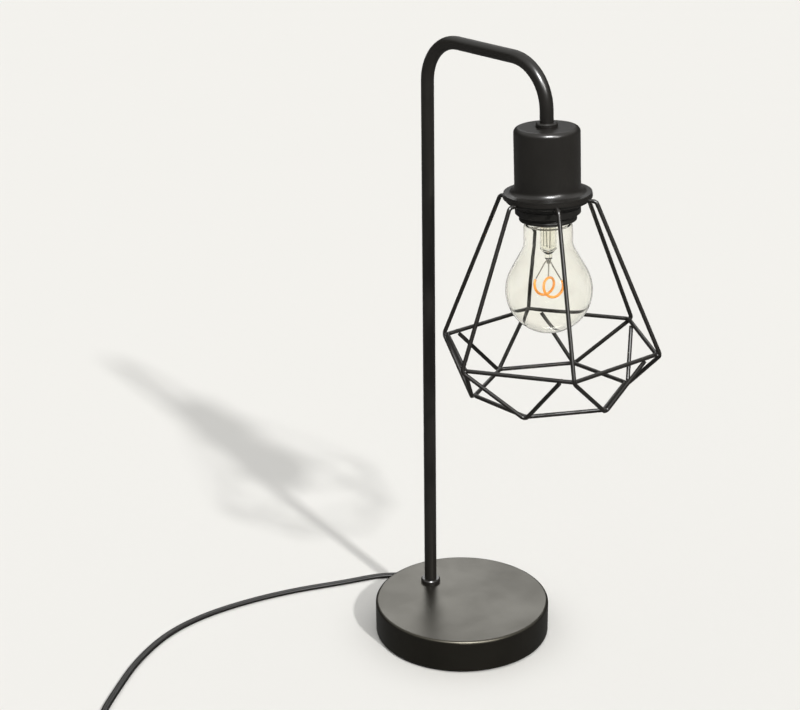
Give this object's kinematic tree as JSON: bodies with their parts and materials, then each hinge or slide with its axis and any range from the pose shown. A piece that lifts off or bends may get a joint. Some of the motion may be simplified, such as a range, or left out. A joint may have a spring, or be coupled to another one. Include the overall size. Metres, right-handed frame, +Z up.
{
  "type": "table lamp",
  "caption": "Wire table lamp: round weighted base, bent tube stem, cup with screw lampholder, six sided wire cage, filament bulb, and a flat cord with switch and plug.",
  "frame": {"origin": "centre of the base's underside, on the surface the lamp stands on", "axes": "+Z up, +X from the stem along the arm to the head"},
  "size_m": [0.3113, 0.401, 0.4667],
  "materials": {
    "base_coat": "matte powder coat, slightly mottled",
    "black_glass": "vitrified insulator",
    "black_plastic": "moulded thermoset, soft gloss",
    "brass": "bare brass",
    "bulb_glass": "clear glass with a faint amber tint",
    "cage_black": "satin powder coat over wire",
    "cast_iron": "rough casting",
    "ceramic": "glazed ceramic",
    "cord_jacket": "flat flexible jacket",
    "driver_board": "potted board",
    "filament": "amber coated strip",
    "foot_pad": "soft foam pad",
    "lead_wire": "drawn wire",
    "nickel_cap": "rolled thin sheet",
    "satin_black": "satin powder coat",
    "soft_black": "moulded soft jacket",
    "stem_glass": "clear glass",
    "wire_blue": "core insulation",
    "wire_brown": "core insulation",
    "zinc_steel": "zinc plated"
  },
  "bodies": {
    "root": {"base_collar": "satin_black", "base_pad": "foot_pad", "base_shell": "base_coat", "base_weight": "cast_iron", "bottom_plate": "zinc_steel", "centre_contact": "brass", "contact_rivets": "brass", "cord_coil": "cord_jacket", "cord_free": "cord_jacket", "cord_mid": "cord_jacket", "cord_relief": "soft_black", "cord_tail": "cord_jacket", "cup": "satin_black", "head_collar": "satin_black", "head_nut": "brass", "holder_core": "ceramic", "holder_dome": "black_plastic", "holder_skirt": "black_plastic", "inner_flex": "cord_jacket", "live_wire": "wire_brown", "neutral_wire": "wire_blue", "plug_body": "soft_black", "plug_pins": "brass", "plug_relief": "soft_black", "rocker_pin": "zinc_steel", "screw_shell": "brass", "stem_lock_washer": "zinc_steel", "stem_nut": "brass", "stem_tube": "satin_black", "stem_washer": "zinc_steel", "switch_base": "black_plastic", "switch_contacts": "brass", "switch_cover": "black_plastic", "switch_screws": "zinc_steel", "terminal_blocks": "brass", "terminal_screws": "zinc_steel"},
    "rocker": {"switch_rocker": "black_plastic"},
    "bulb_tip": {"bulb_insulator": "black_glass", "bulb_eyelet": "nickel_cap"},
    "bulb": {"bulb_cap": "nickel_cap", "bulb_glass": "bulb_glass", "bulb_stem": "stem_glass", "bulb_leads": "lead_wire", "bulb_filament": "filament", "filament_post": "lead_wire", "bulb_driver": "driver_board"},
    "cage": {"cage_plate": "cage_black", "cage_mid_ring": "cage_black", "cage_low_ring": "cage_black", "cage_spoke_1": "cage_black", "cage_spoke_2": "cage_black", "cage_spoke_3": "cage_black", "cage_spoke_4": "cage_black", "cage_spoke_5": "cage_black", "cage_spoke_6": "cage_black"},
    "shade_ring": {"shade_ring": "black_plastic"}
  },
  "joints": [
    {"name": "rocker_tip", "type": "hinge", "parent": "root", "child": "rocker", "pos_m": [0.0109, -0.2296, 0.01], "axis": [-0.742, 0.6704, 0], "range_deg": [0, 18]},
    {"name": "bulb_travel", "type": "slide", "parent": "root", "child": "bulb_tip", "axis": [0.0436, 0, -0.999], "range_m": [0, 0.01995]},
    {"name": "bulb_turn", "type": "hinge", "parent": "bulb_tip", "child": "bulb", "pos_m": [0.08297, 0, 0.42001], "axis": [0.0436, 0, -0.999], "range_deg": [0, 1980]},
    {"name": "cage_travel", "type": "slide", "parent": "root", "child": "cage", "axis": [0.0436, 0, -0.999], "range_m": [0, 0.01499]},
    {"name": "ring_turn", "type": "hinge", "parent": "cage", "child": "shade_ring", "pos_m": [0.08297, 0, 0.42001], "axis": [0.0436, 0, -0.999], "range_deg": [0, 2160]}
  ],
  "couplings": [
    {"joint": "bulb_turn", "follows": "bulb_travel", "rad_per_m": 1730.9},
    {"joint": "ring_turn", "follows": "cage_travel", "rad_per_m": 2513.3}
  ]
}
